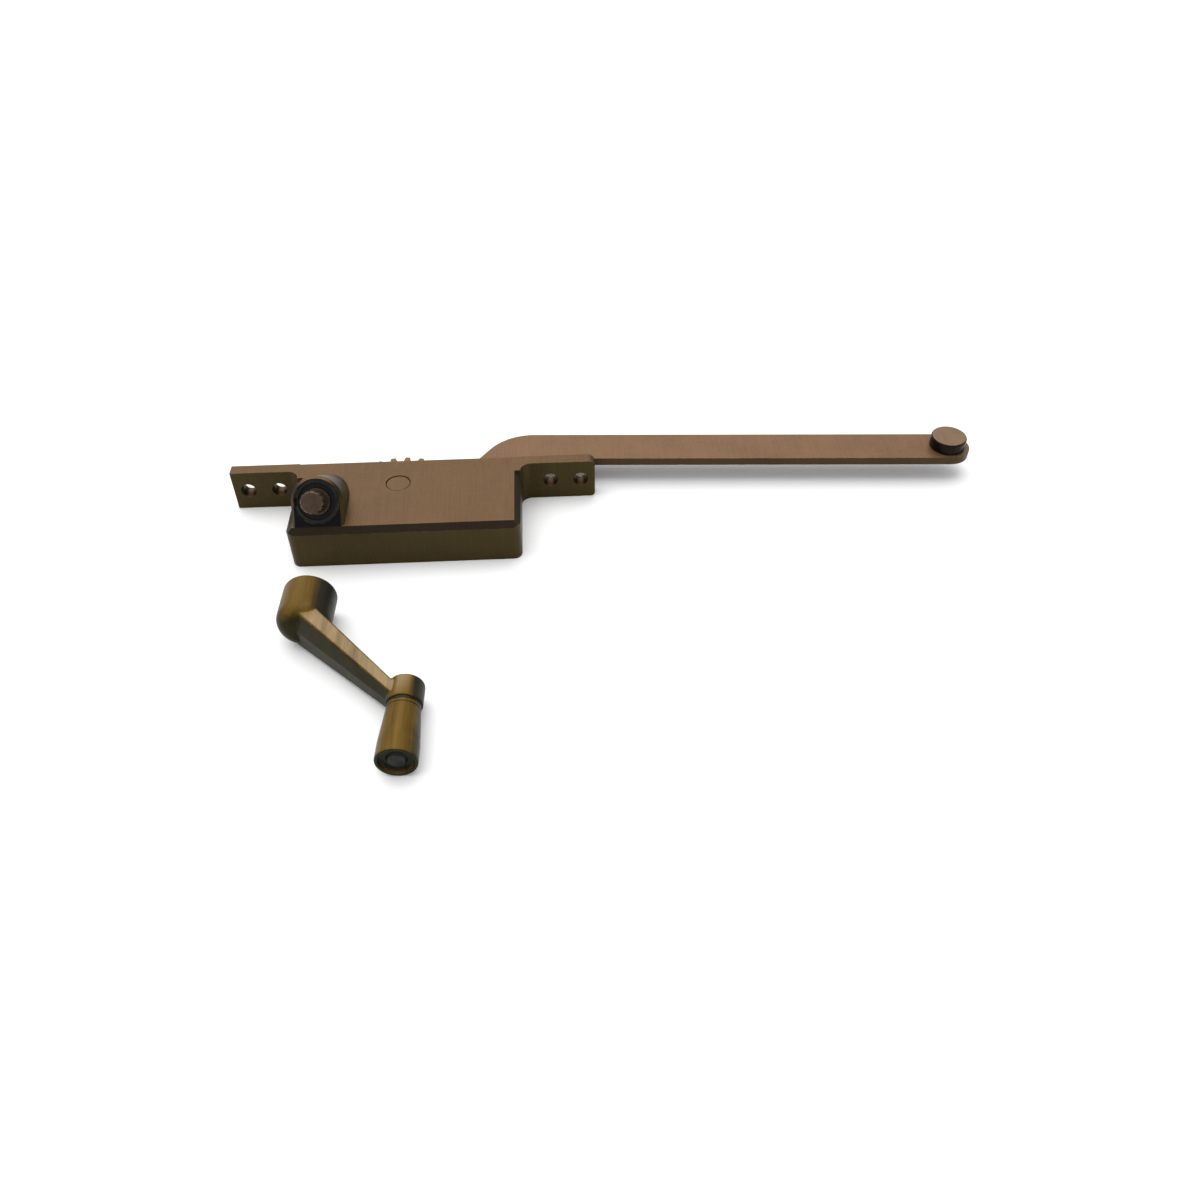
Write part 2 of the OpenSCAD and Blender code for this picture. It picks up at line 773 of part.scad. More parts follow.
module crank_handle() {
    arm_from = hub_len * 0.73;
    arm_to = collar_from + collar_len * 0.62;
    slope = atan2(arm_to - arm_from, crank_r);
    color("#715a2d")
        on_crank()
            difference() {
                union() {
                    translate([0, 0, hub_dome - hub_len])
                        cylinder(r = hub_r, h = hub_len - hub_dome - 0.6);
                    translate([0, 0, -0.6])
                        cylinder(r1 = hub_r, r2 = hub_r - 0.6, h = 0.6);
                    translate([0, 0, hub_dome - hub_len])
                        rotate_extrude()
                            intersection() {
                                translate([0, -hub_dome])
                                    square([hub_r, hub_dome]);
                                union() {
                                    translate([hub_r - hub_dome, 0])
                                        circle(hub_dome);
                                    translate([0, -hub_dome])
                                        square([hub_r - hub_dome, hub_dome]);
                                }
                            }
                    translate([crank_r, 0, -collar_from - collar_len])
                        cylinder(r = collar_r, h = collar_len - 0.8);
                    translate([crank_r, 0, -collar_from - 0.8])
                        cylinder(r1 = collar_r, r2 = collar_r - 0.8, h = 0.8);
                    hull() {
                        translate([0, 0, -arm_from])
                            rotate([0, 90 + slope, 0])
                                rotate([0, 0, 180])
                                    crank_section(hub_r * 0.32, hub_r * 0.5, hub_r * 0.85, hub_r * 0.93);
                        translate([crank_r - collar_r * 0.6, 0, -arm_to])
                            rotate([0, 90 + slope, 0])
                                rotate([0, 0, 180])
                                    crank_section(collar_r * 0.25, collar_r * 0.5, collar_r * 0.75, collar_r * 0.85);
                    }
                }
                translate([0, 0, -socket_depth])
                    cylinder(r = socket_r, h = socket_depth + eps);
                translate([0, 0, -hub_len * 0.35])
                    rotate([0, -90, 0])
                        cylinder(r = set_screw_r, h = hub_r + eps);
                translate([crank_r, 0, -collar_from - collar_len - eps])
                    cylinder(r = knob_pin_r, h = collar_len - 1 + eps);
            }
}

module set_screw() {
    len = hub_r - socket_r - 0.5;
    color("#3c3a38")
        on_crank()
            translate([-socket_r - 0.2, 0, -hub_len * 0.35])
                rotate([0, -90, 0])
                    difference() {
                        cylinder(r = set_screw_r, h = len);
                        translate([0, 0, len - 1.5])
                            cylinder(r = set_screw_r * 0.55, h = 2, $fn = 6);
                    }
}

module knob_pin() {
    start = -collar_from - 1;
    dish_floor = -knob_from - knob_len + dish_depth;
    color("#5b5040")
        on_crank()
            translate([crank_r, 0, 0]) {
                translate([0, 0, dish_floor - end_play])
                    cylinder(r = knob_pin_r, h = start - dish_floor + end_play);
                translate([0, 0, dish_floor - end_play - 0.9])
                    cylinder(r1 = knob_pin_r + 0.4, r2 = knob_pin_r + 1.1, h = 0.9);
            }
}

module knob_washer() {
    color("#2a2118")
        on_crank()
            translate([crank_r, 0, -knob_from + end_play])
                ring(collar_r - 0.6, knob_pin_r, 0.9 - end_play);
}

module knob() {
    color("#6d5529")
        on_crank()
            translate([crank_r, 0, -knob_from - knob_len])
                rotate_extrude()
                    polygon([[knob_pin_r + running_play, dish_depth], [knob_r2 - dish_rim - 0.5, dish_depth],
                        [knob_r2 - dish_rim, 0.3], [knob_r2 - dish_rim + 0.3, 0], [knob_r2 - 0.5, 0],
                        [knob_r2, 0.6], [knob_r2 - 0.1, knob_len * 0.3], [knob_r1, knob_len - 1.2],
                        [knob_r1 - 0.5, knob_len], [knob_pin_r + running_play, knob_len]]);
}

housing();
base_plate();
cover_screws();
pivot_pin();
upper_washer();
lower_washer();
tail_bush();
shaft_bushing();
retaining_ring();
thrust_washer();
worm_shaft();
arm();
arm_bush();
guide_button();
button_washer();
crank_handle();
set_screw();
knob_pin();
knob_washer();
knob();
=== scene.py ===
import json
import math

import bmesh
import bpy
from mathutils import Matrix, Vector


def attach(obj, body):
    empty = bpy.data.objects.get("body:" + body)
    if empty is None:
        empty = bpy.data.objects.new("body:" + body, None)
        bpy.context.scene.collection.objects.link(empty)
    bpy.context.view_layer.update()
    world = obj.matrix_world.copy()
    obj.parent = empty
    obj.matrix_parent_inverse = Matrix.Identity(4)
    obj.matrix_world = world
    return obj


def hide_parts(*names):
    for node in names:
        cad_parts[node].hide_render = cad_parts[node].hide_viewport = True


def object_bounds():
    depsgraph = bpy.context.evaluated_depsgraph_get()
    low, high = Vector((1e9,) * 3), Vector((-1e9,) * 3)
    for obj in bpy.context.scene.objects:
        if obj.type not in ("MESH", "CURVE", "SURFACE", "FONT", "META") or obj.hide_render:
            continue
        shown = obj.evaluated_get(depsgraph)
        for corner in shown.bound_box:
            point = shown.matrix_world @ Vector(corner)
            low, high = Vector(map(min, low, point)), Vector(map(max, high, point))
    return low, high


bl_info = {
    "name": "Casement Window Operator",
    "version": (1, 0, 0),
    "blender": (4, 5, 0),
    "location": "3D View > Sidebar > Casement",
    "description": "Finishes and finer pieces for a casement window operator and its crank",
    "category": "Object",
}

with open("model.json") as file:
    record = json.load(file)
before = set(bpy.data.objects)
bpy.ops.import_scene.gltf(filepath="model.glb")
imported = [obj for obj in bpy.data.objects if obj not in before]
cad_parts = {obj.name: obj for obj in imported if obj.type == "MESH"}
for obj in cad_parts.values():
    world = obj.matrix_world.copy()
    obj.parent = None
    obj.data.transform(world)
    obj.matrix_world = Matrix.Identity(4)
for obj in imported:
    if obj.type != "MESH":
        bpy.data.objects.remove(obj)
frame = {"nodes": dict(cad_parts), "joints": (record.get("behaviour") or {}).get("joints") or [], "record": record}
CAD_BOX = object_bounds()
NODES = frame["nodes"]
MOUNTS = {m["name"]: m for m in frame["record"]["mounts"]}
JOINTS = {j["name"]: j for j in frame["joints"]}
MM = 0.001
UP = (0, 0, 1)

# Cover plate bronze: a lit colour for faces that look up (painted light) and a shaded colour for upright faces
# (painted shade)
COVER_LIT_TOP = (0.10, 0.075, 0.05)
COVER_SHADED_SIDE = (0.06, 0.045, 0.025)
# Painted shade: bevels darker than the upright faces, standing in for the dark room they reflect
BEVEL_PAINTED_SHADE = (0.020, 0.013, 0.007)
# Near-black for the boss face square to the crank stud
BOSS_FACE_BLACK = (0.004, 0.004, 0.005)
# Pivot rivet bronze: a lit top colour (painted light) and a shaded side colour (painted shade)
RIVET_LIT_TOP = (0.115, 0.065, 0.028)
RIVET_SHADED_SIDE = (0.05, 0.036, 0.02)
# Guide button bronze: a lit top colour (painted light) and a near-black side colour (painted shade of a contact
# shadow)
BUTTON_LIT_TOP = (0.185, 0.115, 0.066)
BUTTON_SHADED_SIDE = (0.006, 0.004, 0.0012)
# Painted sheen: a pale highlight colour for the top of the crank's arm
PAINTED_SHEEN_PALE = (0.250, 0.180, 0.098)
# Painted shade: near-black for faces that point along the end direction (the hub's side towards the knob and the
# knob's free end)
SHADED_END_DARK = (0.014, 0.015, 0.010)
BLACK_OXIDE = (0.030, 0.031, 0.028)
BROWNED_STEEL = (0.075, 0.050, 0.030)
PLAIN_STEEL = (0.50, 0.49, 0.46)
BUSH_BRONZE = (0.42, 0.29, 0.14)
NYLON = (0.003, 0.003, 0.0045)
SKY = (0.97, 0.98, 1.0, 1.0)
LAMP_WHITE = (1.0, 0.985, 0.96)

LAMP_WAY = Vector((0.22, -0.38, -1.0))
CAMERA_AT = Vector((0.05646, -0.36358, 0.27326))
CAMERA_AHEAD = Vector((0.04168, 0.72053, -0.69217))
CAMERA_RIGHT = Vector((0.99833, -0.05775, 0.0))


# ---------------------------------------------------------------- finishes

class Value:
    """A socket of a finish that takes part in ordinary arithmetic."""

    def __init__(self, finish, socket):
        self.finish = finish
        self.socket = socket

    def _math(self, operation, first, second=0.0):
        return self.finish.node("ShaderNodeMath", {"operation": operation}, {0: first, 1: second})

    def __add__(self, other):
        return self._math("ADD", self, other)

    def __sub__(self, other):
        return self._math("SUBTRACT", self, other)

    def __rsub__(self, other):
        return self._math("SUBTRACT", other, self)

    def __mul__(self, other):
        return self._math("MULTIPLY", self, other)

    __radd__ = __add__
    __rmul__ = __mul__


class Finish:
    """A material whose colour, roughness and relief are worked out from its own surface."""

    def __init__(self, slot, **fixed):
        self.slot = slot
        self.material = bpy.data.materials.new(slot)
        self.material.use_nodes = True
        self.tree = self.material.node_tree
        self.tree.nodes.clear()
        self.shader = self.tree.nodes.new("ShaderNodeBsdfPrincipled")
        output = self.tree.nodes.new("ShaderNodeOutputMaterial")
        self.tree.links.new(self.shader.outputs[0], output.inputs[0])
        self.set(**fixed)

    def set(self, **sockets):
        """Gives the shader's sockets their values or links; base_color means Base Color."""
        for name, value in sockets.items():
            words = {"ior": "IOR"}
            key = " ".join(words.get(w, w.capitalize()) for w in name.split("_"))
            self._fill(self.shader.inputs[key], value)

    def _fill(self, socket, value):
        if isinstance(value, Value):
            self.tree.links.new(value.socket, socket)
        elif socket.type == "RGBA" and len(value) == 3:
            socket.default_value = (*value, 1.0)
        else:
            socket.default_value = value

    def node(self, kind, settings, inputs, output=0):
        """Adds a node: its settings first, then the values or links of its sockets."""
        node = self.tree.nodes.new(kind)
        for key, value in settings.items():
            setattr(node, key, value)
        for key, value in inputs.items():
            self._fill(node.inputs[key], value)
        return Value(self, node.outputs[output])

    def place(self, scale=(1, 1, 1), shift=(0, 0, 0)):
        """Metres on the piece, stretched and shifted for a texture."""
        spot = self.node("ShaderNodeTexCoord", {}, {}, "Object")
        return self.node("ShaderNodeMapping", {},
                         {"Vector": spot, "Location": shift, "Scale": scale})

    def noise(self, size, detail=3.0, rough=0.55, **place):
        """Noise from 0 to 1, about the middle."""
        return self.node("ShaderNodeTexNoise", {},
                         {"Vector": self.place(**place), "Scale": size, "Detail": detail,
                          "Roughness": rough})

    def between(self, value, low, high):
        """0 under low and 1 over high."""
        return self.node("ShaderNodeMapRange", {"interpolation_type": "SMOOTHSTEP"},
                         {"Value": value, "From Min": low, "From Max": high})

    def mix(self, share, first, second):
        """A colour between two colours."""
        return self.node("ShaderNodeMix", {"data_type": "RGBA"}, {0: share, 6: first, 7: second}, 2)

    def brighter(self, colour, factor):
        """A colour times a number."""
        return self.node("ShaderNodeVectorMath", {"operation": "SCALE"}, {0: colour, "Scale": factor})

    def facing(self, way):
        """How far the surface faces a direction, from -1 to 1."""
        normal = self.node("ShaderNodeNewGeometry", {}, {}, "Normal")
        return self.node("ShaderNodeVectorMath", {"operation": "DOT_PRODUCT"},
                         {0: normal, 1: way}, "Value")

    def patch(self, middle, reach):
        """1 in the middle of a ball-shaped patch and 0 beyond its reach."""
        spot = self.place(scale=3 * (1 / reach,), shift=tuple(-c / reach for c in middle))
        return self.node("ShaderNodeTexGradient", {"gradient_type": "SPHERICAL"}, {0: spot}, 1)

    def edges(self, width):
        """1 along sharp edges and 0 on open faces."""
        softened = self.node("ShaderNodeBevel", {"samples": 6}, {"Radius": width})
        return self.between(1 - self.facing(softened), 0.02, 0.18)

    def relief(self, height, depth):
        """A bump of the given depth in metres."""
        return self.node("ShaderNodeBump", {}, {"Height": height, "Distance": depth})


def bronze_paint(slot, top, side, rough=0.42, bevel_shade=None, face=None):
    """Bronze paint with painted light: a lit top colour where it faces up and a shaded side colour on upright
    faces, with faint drawn streaks and edges lightened partly by wear and partly as a painted highlight.

    slope is the painted shade colour of bevels and face the direction of a face painted near-black.
    """
    f = Finish(slot, specular_ior_level=0.12)
    cloud = f.noise(70.0, 4.0)
    speck = f.noise(1500.0, 3.0)
    drawn = f.noise(1.0, 3.0, scale=(1300.0, 60.0, 60.0))
    shade = 1 + (cloud - 0.5) * 0.5 + (speck - 0.5) * 0.45 + (drawn - 0.5) * 0.32
    rise = f.facing(UP)
    # Painted shade: upright faces take the shaded side colour, and sloping bevels the darker painted shade of
    # slope
    lower = f.mix(f.between(rise, 0.35, 0.6), side, bevel_shade or side)
    # Painted light: faces that look up take the lit top colour
    lit_and_shaded = f.mix(f.between(rise, 0.74, 0.97), lower, top)
    # Near-black where the surface faces the face direction (the boss face round the crank stud)
    if face:
        lit_and_shaded = f.mix(f.between(f.facing(face), 0.986, 0.996), lit_and_shaded, BOSS_FACE_BLACK)
    # Edges lightened partly by wear and partly as a painted highlight
    wear_and_edge_highlight = f.edges(0.0007) * f.between(f.noise(420.0, 3.0), 0.35, 0.75) * 0.55
    colour = f.mix(wear_and_edge_highlight, lit_and_shaded, tuple(1.7 * c + 0.03 for c in top))
    f.set(base_color=f.brighter(colour, shade),
          metallic=0.35 + wear_and_edge_highlight * 0.4,
          roughness=rough + (cloud - 0.5) * 0.16 + (speck - 0.5) * 0.10,
          normal=f.relief(speck * 0.6 + f.noise(900.0, 2.0), 0.00004))
    return f


def antique_bronze(slot, bright, dark, along, end, rough=0.36, sheen=None):
    """Browned bronze with painted light: a bright lit colour on faces that look up and a dark shaded colour on the
    sides and under sides, with painted shade where it faces the end direction.

    sheen is the middle and reach of a painted sheen: a pale highlight patch on the top.
    """
    f = Finish(slot, specular_ior_level=0.06, metallic=0.2)
    cloud = f.noise(130.0, 4.0, 0.6)
    speck = f.noise(3200.0, 2.0)
    lines = f.noise(1.0, 3.0, scale=along)
    bands = f.noise(0.2, 2.0, scale=along)
    rise = f.facing(UP)
    # Painted light: bright on faces that look up, dark (painted shade) on the sides and under sides
    tone = f.mix(f.between(rise + (cloud - 0.5) * 0.6, 0.25, 0.85), dark, bright)
    # Painted sheen: a pale highlight patch on faces that look up, round the sheen's middle
    if sheen:
        pale = f.between(f.patch(*sheen), 0.0, 0.35) * f.between(rise, 0.86, 0.985)
        tone = f.mix(pale * 0.85, tone, PAINTED_SHEEN_PALE)
    # Painted shade: near-black where the surface faces the end direction
    tone = f.mix(f.between(f.facing(end), 0.2, 0.6) * 0.92, tone, SHADED_END_DARK)
    shade = 1 + (cloud - 0.5) * 0.5 + (lines - 0.5) * 0.6 + (bands - 0.5) * 1.3
    # Edges lightened partly by wear and partly as a painted highlight
    wear_and_edge_highlight = f.edges(0.0008) * f.between(f.noise(350.0, 3.0), 0.3, 0.7) * 0.3
    colour = f.mix(wear_and_edge_highlight, tone, tuple(1.6 * c + 0.03 for c in bright))
    f.set(base_color=f.brighter(colour, shade),
          roughness=rough + (cloud - 0.5) * 0.2 + (lines - 0.5) * 0.15,
          normal=f.relief(lines * 0.6 + speck * 0.4, 0.00003))
    return f


def bare_metal(slot, colour, rough, metal=1.0):
    """Plain metal with a fine grain and a little dirt."""
    f = Finish(slot, metallic=metal)
    fine = f.noise(900.0, 3.0)
    dirt = f.between(f.noise(260.0, 4.0), 0.4, 0.8)
    shade = 1 + (fine - 0.5) * 0.4 - dirt * 0.35
    f.set(base_color=f.brighter(colour, shade),
          roughness=rough + (fine - 0.5) * 0.2 + dirt * 0.2,
          normal=f.relief(fine, 0.00002))
    return f


def moulded(slot, colour):
    """Black moulded nylon with a fine grain."""
    f = Finish(slot, specular_ior_level=0.2)
    grain = f.noise(2400.0, 3.0)
    cloud = f.noise(200.0, 3.0)
    f.set(base_color=f.brighter(colour, 1 + (cloud - 0.5) * 0.8),
          roughness=0.5 + (grain - 0.5) * 0.2,
          normal=f.relief(grain, 0.00003))
    return f


def dress(node, finish, edge=0.0, segments=3, angle=35.0):
    """Gives a CAD node its finish and, where asked, rounded edges."""
    piece = NODES[node]
    piece.data.materials.clear()
    piece.data.materials.append(finish.material)
    if not edge:
        return
    weld = piece.modifiers.new("weld", "WELD")
    weld.merge_threshold = 0.000002
    flat = piece.modifiers.new("flat", "DECIMATE")
    flat.decimate_type = "DISSOLVE"
    flat.angle_limit = math.radians(1.0)
    bevel = piece.modifiers.new("edge", "BEVEL")
    bevel.width = edge
    bevel.segments = segments
    bevel.limit_method = "ANGLE"
    bevel.angle_limit = math.radians(angle)
    bevel.miter_outer = "MITER_ARC"
    even = piece.modifiers.new("even", "WEIGHTED_NORMAL")
    even.mode = "FACE_AREA"
    even.weight = 80


# ------------------------------------------------------------------ shapes

def crank_space():
    """The crank's own frame: +Z out of the socket, +X towards the knob."""
    socket = MOUNTS["crank_socket"]
    out = Vector(socket["axis"]).normalized()
    mouth = Vector(socket["pos_m"]) + out * socket["dims"]["length_mm"] * MM / 2
    reach = Vector(JOINTS["knob_spin"]["pos_m"]) - mouth
    reach -= out * reach.dot(out)
    side = reach.normalized()
    basis = Matrix((side, out.cross(side), out)).transposed().to_4x4()
    return Matrix.Translation(mouth) @ basis, reach.length


def lathe(bm, profile, steps=96, at=Vector((0, 0, 0))):
    """A closed turned shape round Z from (radius, height) pairs, lowest first."""
    rings = []
    for radius, height in profile:
        if radius < 1e-7:
            rings.append([bm.verts.new(at + Vector((0, 0, height)))])
            continue
        turns = [2 * math.pi * i / steps for i in range(steps)]
        rings.append([bm.verts.new(at + Vector((radius * math.cos(a), radius * math.sin(a), height)))
                      for a in turns])
    for low, high in zip(rings, rings[1:]):
        for i in range(steps):
            j = (i + 1) % steps
            if len(low) == 1:
                bm.faces.new((low[0], high[j], high[i]))
            elif len(high) == 1:
                bm.faces.new((low[i], low[j], high[0]))
            else:
                bm.faces.new((low[i], low[j], high[j], high[i]))
    return rings


def rounded(corners, radius, steps=4):
    """A closed outline with its corners rounded."""
    outline = []
    count = len(corners)
    for k in range(count):
        here = Vector(corners[k])
        back = (Vector(corners[k - 1]) - here).normalized()
        ahead = (Vector(corners[(k + 1) % count]) - here).normalized()
        half = back.angle(ahead) / 2
        cut = radius / math.tan(half)
        centre = here + (back + ahead).normalized() * radius / math.sin(half)
        start = here + back * cut - centre
        end = here + ahead * cut - centre
        for i in range(steps + 1):
            spoke = start.lerp(end, i / steps)
            outline.append(centre + spoke.normalized() * radius)
    return outline


def skin(bm, rings):
    """Joins rings of equal length into one closed skin."""
    rows = [[bm.verts.new(p) for p in ring] for ring in rings]
    count = len(rows[0])
    for low, high in zip(rows, rows[1:]):
        for i in range(count):
            j = (i + 1) % count
            bm.faces.new((low[i], low[j], high[j], high[i]))
    bm.faces.new(rows[0][::-1])
    bm.faces.new(rows[-1])


def arc(centre, radius, start, end, steps=8):
    """Profile points on an arc, in degrees from the radius axis."""
    turns = [math.radians(start + (end - start) * i / steps) for i in range(steps + 1)]
    return [(centre[0] + radius * math.cos(a), centre[1] + radius * math.sin(a)) for a in turns]


def new_piece(name, bm, space):
    """An object with smooth faces, from a bmesh in a local frame."""
    bmesh.ops.recalc_face_normals(bm, faces=bm.faces)
    mesh = bpy.data.meshes.new(name)
    bm.to_mesh(mesh)
    bm.free()
    mesh.transform(space)
    mesh.shade_smooth()
    piece = bpy.data.objects.new(name, mesh)
    bpy.context.scene.collection.objects.link(piece)
    return piece


def settle(piece):
    """Applies a piece's modifiers to its mesh."""
    graph = bpy.context.evaluated_depsgraph_get()
    mesh = bpy.data.meshes.new_from_object(piece.evaluated_get(graph))
    piece.modifiers.clear()
    piece.data = mesh
    mesh.shade_smooth()


def cut(piece, cutter):
    """Takes one closed shape out of another."""
    part = piece.modifiers.new("cut", "BOOLEAN")
    part.operation = "DIFFERENCE"
    part.solver = "EXACT"
    part.object = cutter
    settle(piece)
    bpy.data.objects.remove(cutter)


def sharpen(piece, angle=32.0):
    """Keeps edges crisp where the faces meet at more than an angle."""
    bm = bmesh.new()
    bm.from_mesh(piece.data)
    limit = math.radians(angle)
    for edge in bm.edges:
        edge.smooth = len(edge.link_faces) == 2 and edge.calc_face_angle(0) < limit
    bm.to_mesh(piece.data)
    bm.free()


# ---------------------------------------------------------------- settings

class CaseSettings(bpy.types.PropertyGroup):
    edge: bpy.props.FloatProperty(
        name="Edge radius", description="Rounding of the casting's edges",
        default=0.0006, min=0.0, unit="LENGTH")
    # top is the lit colour (painted light) and side the shaded colour (painted shade) of one bronze paint
    top: bpy.props.FloatVectorProperty(
        name="Top colour", description="Bronze paint on the faces that look up",
        size=3, subtype="COLOR", default=(0.113, 0.063, 0.027))
    side: bpy.props.FloatVectorProperty(
        name="Side colour", description="Bronze paint on the upright faces",
        size=3, subtype="COLOR", default=(0.042, 0.029, 0.007))


class ArmSettings(bpy.types.PropertyGroup):
    edge: bpy.props.FloatProperty(
        name="Edge radius", description="Rounding of the stamped arm's edges",
        default=0.00035, min=0.0, unit="LENGTH")
    # top is the lit colour (painted light) and side the shaded colour (painted shade) of one bronze paint
    top: bpy.props.FloatVectorProperty(
        name="Top colour", description="Bronze paint on the arm's flat",
        size=3, subtype="COLOR", default=(0.164, 0.092, 0.047))
    side: bpy.props.FloatVectorProperty(
        name="Side colour", description="Bronze paint on the arm's edges",
        size=3, subtype="COLOR", default=(0.052, 0.031, 0.012))


class CrankSettings(bpy.types.PropertyGroup):
    hub_radius: bpy.props.FloatProperty(
        name="Hub radius", description="Radius of the hub over the socket",
        default=0.0099, unit="LENGTH")
    hub_length: bpy.props.FloatProperty(
        name="Hub length", description="Length of the hub with its round end",
        default=0.0200, unit="LENGTH")
    hub_dome: bpy.props.FloatProperty(
        name="Hub rounding", description="Radius of the hub's round end",
        default=0.0060, unit="LENGTH")
    collar_from: bpy.props.FloatProperty(
        name="Collar distance", description="From the socket's mouth to the knob's collar",
        default=0.0437, unit="LENGTH")
    collar_length: bpy.props.FloatProperty(
        name="Collar length", description="Length of the collar that carries the knob",
        default=0.0095, unit="LENGTH")
    collar_radius: bpy.props.FloatProperty(
        name="Collar radius", description="Radius of the collar that carries the knob",
        default=0.0064, unit="LENGTH")
    screw_radius: bpy.props.FloatProperty(
        name="Set screw radius", description="Radius of the set screw's hole",
        default=0.0020, unit="LENGTH")
    voxel: bpy.props.FloatProperty(
        name="Fineness", description="Grain of the mesh that blends the arm into the hub",
        default=0.00032, unit="LENGTH")
    # bright is the lit colour on faces that look up (painted highlight) and dark the shaded colour on the sides
    # and under sides (painted shade)
    bright: bpy.props.FloatVectorProperty(
        name="Bright colour", description="Bronze where hands polish it",
        size=3, subtype="COLOR", default=(0.106, 0.060, 0.010))
    dark: bpy.props.FloatVectorProperty(
        name="Dark colour", description="Browned bronze on the under sides",
        size=3, subtype="COLOR", default=(0.018, 0.015, 0.003))


class KnobSettings(bpy.types.PropertyGroup):
    top_radius: bpy.props.FloatProperty(
        name="Radius at the collar", description="Radius of the knob next to the collar",
        default=0.0060, unit="LENGTH")
    end_radius: bpy.props.FloatProperty(
        name="Radius at the end", description="Radius of the knob at its free end",
        default=0.0072, unit="LENGTH")
    length: bpy.props.FloatProperty(
        name="Length", description="Length of the knob",
        default=0.0231, unit="LENGTH")
    dish: bpy.props.FloatProperty(
        name="Dish depth", description="Depth of the dish in the knob's end",
        default=0.0016, unit="LENGTH")
    rim: bpy.props.FloatProperty(
        name="Rim width", description="Width of the rim round the dish",
        default=0.0012, unit="LENGTH")
    bore: bpy.props.FloatProperty(
        name="Bore radius", description="Radius of the hole for the knob's pin",
        default=0.00256, unit="LENGTH")
    washer: bpy.props.FloatProperty(
        name="Washer room", description="Gap for the washer between the collar and the knob",
        default=0.0009, unit="LENGTH")


class StageSettings(bpy.types.PropertyGroup):
    floor: bpy.props.FloatVectorProperty(
        name="Floor colour", description="Colour of the plain floor",
        size=3, subtype="COLOR", default=(0.95, 0.95, 0.95))
    key: bpy.props.FloatProperty(
        name="Overhead light", description="Strength of the wide light overhead",
        default=2.3, min=0.0)
    room: bpy.props.FloatProperty(
        name="Room light", description="Strength of the light from all round",
        default=0.80, min=0.0)
    lens: bpy.props.FloatProperty(
        name="Lens", description="Focal length in millimetres on a 36 mm sensor",
        default=31.896, min=1.0)


class CasementSettings(bpy.types.PropertyGroup):
    case: bpy.props.PointerProperty(type=CaseSettings, name="Case", description="Case and flange")
    arm: bpy.props.PointerProperty(type=ArmSettings, name="Arm", description="Arm and button")
    crank: bpy.props.PointerProperty(type=CrankSettings, name="Crank", description="Crank handle")
    knob: bpy.props.PointerProperty(type=KnobSettings, name="Knob", description="Knob")
    stage: bpy.props.PointerProperty(type=StageSettings, name="Stage", description="Stage")


# --------------------------------------------------------------- operators

class CASEMENT_OT_case(bpy.types.Operator):
    """Paints the cast case, its flange and its cover plate"""
    bl_idname = "casement.case"
    bl_label = "Case and flange"

    def execute(self, context):
        s = context.scene.casement.case
        # The casting: painted light on its top, painted shade on its sides and bevels, near-black on its boss face
        paint = bronze_paint("bronze_casting", tuple(s.top), tuple(s.side), bevel_shade=BEVEL_PAINTED_SHADE,
                             face=MOUNTS["crank_stud"]["axis"])
        dress("housing", paint, edge=s.edge)
        # The cover plate's top colour is painted light and its side colour painted shade
        dress("base_plate", bronze_paint("cover_plate", COVER_LIT_TOP, COVER_SHADED_SIDE, rough=0.5),
              edge=0.0002, segments=2)
        steel = bare_metal("dark_steel", BLACK_OXIDE, rough=0.42)
        for node in ("cover_screws", "retaining_ring", "button_washer", "set_screw", "knob_pin",
                     "knob_washer"):
            dress(node, steel)
        return {"FINISHED"}


class CASEMENT_OT_worm(bpy.types.Operator):
    """Finishes the worm shaft, its bearings and its washers"""
    bl_idname = "casement.worm"
    bl_label = "Worm and bearings"

    def execute(self, context):
        dress("worm_shaft", bare_metal("worm_steel", BROWNED_STEEL, rough=0.34, metal=0.8),
              edge=0.00012, segments=2, angle=40.0)
        dress("shaft_bushing", moulded("black_nylon", NYLON), edge=0.0002, segments=2)
        bronze = bare_metal("bearing_bronze", BUSH_BRONZE, rough=0.45)
        for node in ("tail_bush", "arm_bush"):
            dress(node, bronze)
        plain = bare_metal("plain_steel", PLAIN_STEEL, rough=0.35)
        for node in ("thrust_washer", "upper_washer", "lower_washer"):
            dress(node, plain)
        return {"FINISHED"}


class CASEMENT_OT_arm(bpy.types.Operator):
    """Paints the swing arm, its rivet and its guide button"""
    bl_idname = "casement.arm"
    bl_label = "Arm and guide button"

    def execute(self, context):
        s = context.scene.casement.arm
        # The arm's top colour is painted light and its side colour painted shade
        dress("arm", bronze_paint("bronze_arm", tuple(s.top), tuple(s.side), rough=0.4),
              edge=s.edge)
        # The rivet's top colour is painted light and its side colour painted shade
        dress("pivot_pin", bronze_paint("bronze_rivet", RIVET_LIT_TOP, RIVET_SHADED_SIDE),
              edge=0.0003, segments=2)
        # The button's top colour is painted light and its near-black side painted shade
        dress("guide_button", bronze_paint("bronze_button", BUTTON_LIT_TOP, BUTTON_SHADED_SIDE, rough=0.36),
              edge=0.00035)
        return {"FINISHED"}


